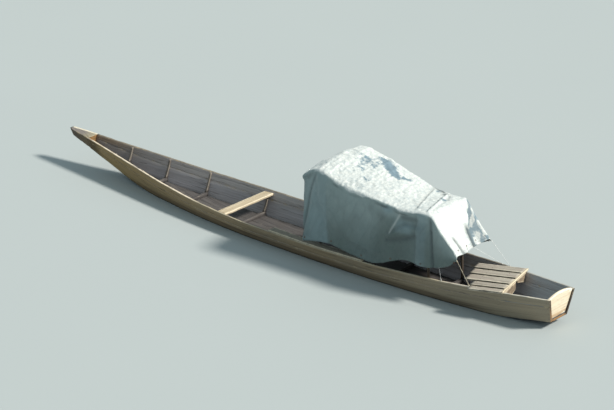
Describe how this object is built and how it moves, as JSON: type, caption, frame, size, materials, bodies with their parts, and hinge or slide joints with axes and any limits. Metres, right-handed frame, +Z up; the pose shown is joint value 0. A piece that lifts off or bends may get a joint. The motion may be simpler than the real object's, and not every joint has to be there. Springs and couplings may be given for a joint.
{
  "type": "wooden river sampan",
  "caption": "Slim flat-bottomed planked river boat with raked ends, a cloth shelter over a pole frame and a slatted stern platform.",
  "frame": {"origin": "under the middle of the length, on the centreline, level with the flat of the bottom", "axes": "+X to the bow, +Y to port, +Z up"},
  "size_m": [7.5, 0.9978, 1.2889],
  "materials": {
    "weathered_wood": "unpainted planks, weathered grey",
    "side_wood": "oiled and stained planks, worn, darker towards the water",
    "bare_wood": "bare pale wood, dry and scuffed",
    "slat_wood": "sun-bleached slats",
    "pole_wood": "peeled round poles",
    "tarpaulin": "creased grey-green tarpaulin with worn pale patches",
    "rope": "thin twisted cord"
  },
  "bodies": {
    "hull": {"bottom_plank_middle": "weathered_wood", "bottom_plank_port": "weathered_wood", "bottom_plank_starboard": "weathered_wood", "lower_side_port": "side_wood", "lower_side_starboard": "side_wood", "upper_side_port": "side_wood", "upper_side_starboard": "side_wood", "bow_block": "bare_wood", "transom": "bare_wood", "floor_bow": "weathered_wood", "floor_fore": "weathered_wood", "floor_waist": "weathered_wood", "floor_thwart": "weathered_wood", "floor_shelter_fore": "weathered_wood", "floor_shelter_mid": "weathered_wood", "floor_shelter_aft": "weathered_wood", "rib_bow_port": "weathered_wood", "rib_bow_starboard": "weathered_wood", "rib_fore_port": "weathered_wood", "rib_fore_starboard": "weathered_wood", "rib_waist_port": "weathered_wood", "rib_waist_starboard": "weathered_wood", "rib_thwart_port": "weathered_wood", "rib_thwart_starboard": "weathered_wood", "thwart": "bare_wood", "stern_knee_port": "bare_wood", "stern_knee_starboard": "bare_wood", "gunwale_board": "slat_wood", "shelter_bar_fore": "pole_wood", "shelter_bar_mid": "pole_wood", "shelter_bar_aft": "pole_wood", "shelter_post_fore_port": "pole_wood", "shelter_post_fore_starboard": "pole_wood", "shelter_post_mid_port": "pole_wood", "shelter_post_mid_starboard": "pole_wood", "shelter_post_aft_port": "pole_wood", "shelter_post_aft_starboard": "pole_wood", "shelter_rail_port": "pole_wood", "shelter_rail_starboard": "pole_wood", "shelter_ridge_pole": "pole_wood", "shelter_cloth": "tarpaulin", "guy_line_port": "rope", "guy_line_starboard": "rope"},
    "platform": {"platform_end_beam": "slat_wood", "platform_slat_1": "slat_wood", "platform_slat_2": "slat_wood", "platform_slat_3": "slat_wood", "platform_slat_4": "slat_wood", "platform_slat_5": "slat_wood", "platform_batten_aft": "slat_wood", "platform_batten_fore": "slat_wood"}
  },
  "joints": [
    {"name": "platform_lift", "type": "slide", "parent": "hull", "child": "platform", "axis": [0, 0, 1], "range_m": [0, 0.15]}
  ]
}
